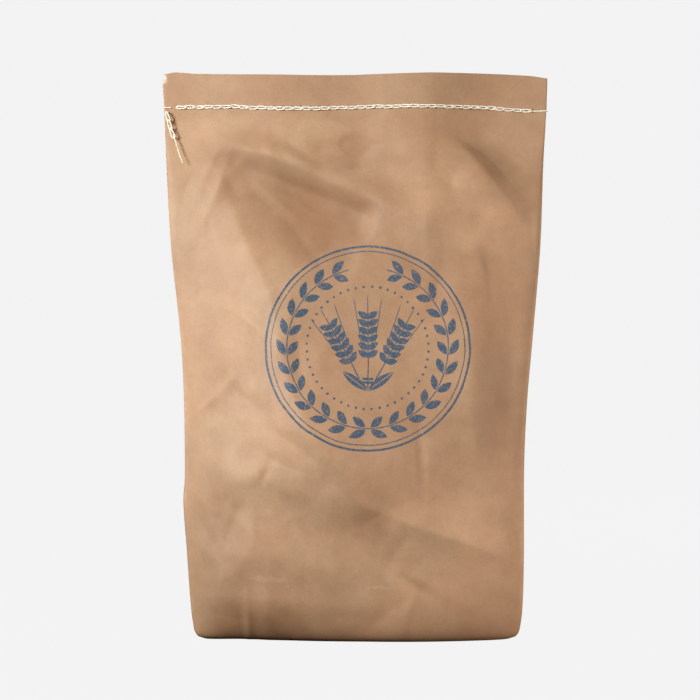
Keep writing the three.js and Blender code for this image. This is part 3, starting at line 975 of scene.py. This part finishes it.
def makeSewnThread(t, s):
    draw = np.random.default_rng(t["seed"])
    outward = np.array((0.0, -1.0, 0.0))
    route = seamRoute(t, s)
    pieces = []
    for count in range(t["loopCount"]):
        longer, wider, lean = 1 + t["unevenness"] * draw.uniform(-1, 1, 3)
        length = t["loopLength"] * longer
        line = loopLine(
            route, count * t["pitch"], length, t["loopHalfWidth"] * wider, t["loopRise"], outward,
            (lean - 1) * t["leanReach"])
        pieces.append(sewLoop("seam_loop", line, length, outward, t))
    upward = np.array((0.0, -0.2, 1.0))
    radius = t["radius"] * t["needleShare"]
    pieces.append(strand("needle_thread", needleLine(t, s), radius, upward, t["needleCuts"], t))
    seam = joinAs("sewn_thread", pieces)
    seam.data.materials.append(cotton)
    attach(seam, "root")
    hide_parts("seam_thread")


makeSewnThread(threadSizes, sackSizes)
print("sewn thread done")


studio = {
    "floorRadius": 2.4,
    "floorSides": 96,
    "bendRadius": 1.0,
    "wallHeight": 4.0,
    "bendSteps": 10,
    "glow": 0.893,
    "floorTone": 0.003,
    "skyShade": (0.36, 0.33, 0.30),
    "skyRise": (-0.25, 0.35),   # the heights between which the sky grows light
    "lamps": {  # place, the point it faces, size, power, tint
        "key": ((-1.10, -0.86, 0.68), (-0.05, 0, 0.21), 0.38, 31.5, (0.94, 1.0, 1.03)),
        "fill": ((0.92, -0.90, 0.08), (0.08, 0, 0.08), 0.60, 3.9, (1.0, 0.92, 0.84)),
        "side": ((0.92, -0.40, 0.08), (0.12, 0, 0.12), 0.34, 4.6, (1.0, 0.92, 0.84)),
        "rear": ((0.90, 1.20, 0.80), (0, 0, 0.22), 0.80, 22, (1.0, 0.97, 0.93)),
        "rear_fill": ((-1.30, 1.00, 0.40), (0, 0, 0.20), 0.80, 8, (1.0, 0.97, 0.93)),
    },
}


def lookAt(place, target):
    return (Vector(target) - Vector(place)).to_track_quat("-Z", "Y").to_euler()


def paleStage(s):
    pale = Finish("pale_stage")
    glow = pale.add("ShaderNodeEmission", None, {"Color": (1, 1, 1, 1), "Strength": s["glow"]})
    matt = pale.add("ShaderNodeBsdfDiffuse", None, {"Color": (s["floorTone"],) * 3 + (1,)})
    return pale.end(pale.add("ShaderNodeAddShader", None, {0: glow, 1: matt}))


def makeStage(s):
    deselectAll()
    bpy.ops.mesh.primitive_circle_add(vertices=s["floorSides"], radius=s["floorRadius"], fill_type="NGON")
    stage = bpy.context.object
    stage.name = "studio_stage"
    bpy.ops.object.mode_set(mode="EDIT")
    bpy.ops.mesh.select_mode(type="EDGE")
    bpy.ops.mesh.select_all(action="SELECT")
    bpy.ops.mesh.region_to_loop()
    turns = [math.pi / 2 * step / s["bendSteps"] for step in range(s["bendSteps"] + 1)]
    for low, high in zip(turns[:-1], turns[1:]):  # the floor bends up into a wall all round
        was = s["floorRadius"] + s["bendRadius"] * math.sin(low)
        grown = s["floorRadius"] + s["bendRadius"] * math.sin(high)
        rise = s["bendRadius"] * (math.cos(low) - math.cos(high))
        bpy.ops.mesh.extrude_region_move(TRANSFORM_OT_translate={"value": (0, 0, rise)})
        bpy.ops.transform.resize(value=(grown / was, grown / was, 1))
    bpy.ops.mesh.extrude_region_move(TRANSFORM_OT_translate={"value": (0, 0, s["wallHeight"])})
    bpy.ops.object.mode_set(mode="OBJECT")
    smoothFaces(stage, 60)
    stage.data.materials.append(paleStage(s))
    stage.visible_diffuse = False
    stage.visible_glossy = False
    stage.visible_shadow = False


def makeLamps(s):
    for name, (place, target, size, power, tint) in s["lamps"].items():
        bpy.ops.object.light_add(type="AREA", location=place, rotation=lookAt(place, target))
        lamp = bpy.context.object
        lamp.name = name + "_light"
        lamp.data.energy = power
        lamp.data.size = size
        lamp.data.color = tint


def makeSky(s):  # soft light from all sides, and none from below
    scene = bpy.context.scene
    scene.world = scene.world or bpy.data.worlds.new("studio_sky")
    scene.world.use_nodes = True
    sky = Finish(None, scene.world)
    height = sky.add("ShaderNodeSeparateXYZ", None, {0: sky.add("ShaderNodeTexCoord")}, output="Z")
    share = sky.step(height, *s["skyRise"])
    shade = sky.mix(share, (0, 0, 0, 1), s["skyShade"] + (1,))
    light = sky.add("ShaderNodeBackground", None, {"Color": shade})
    sky.add("ShaderNodeOutputWorld", None, {"Surface": light}, output=None)
    scene.view_settings.view_transform = "Standard"


makeStage(studio)
makeLamps(studio)
makeSky(studio)
print("studio done")
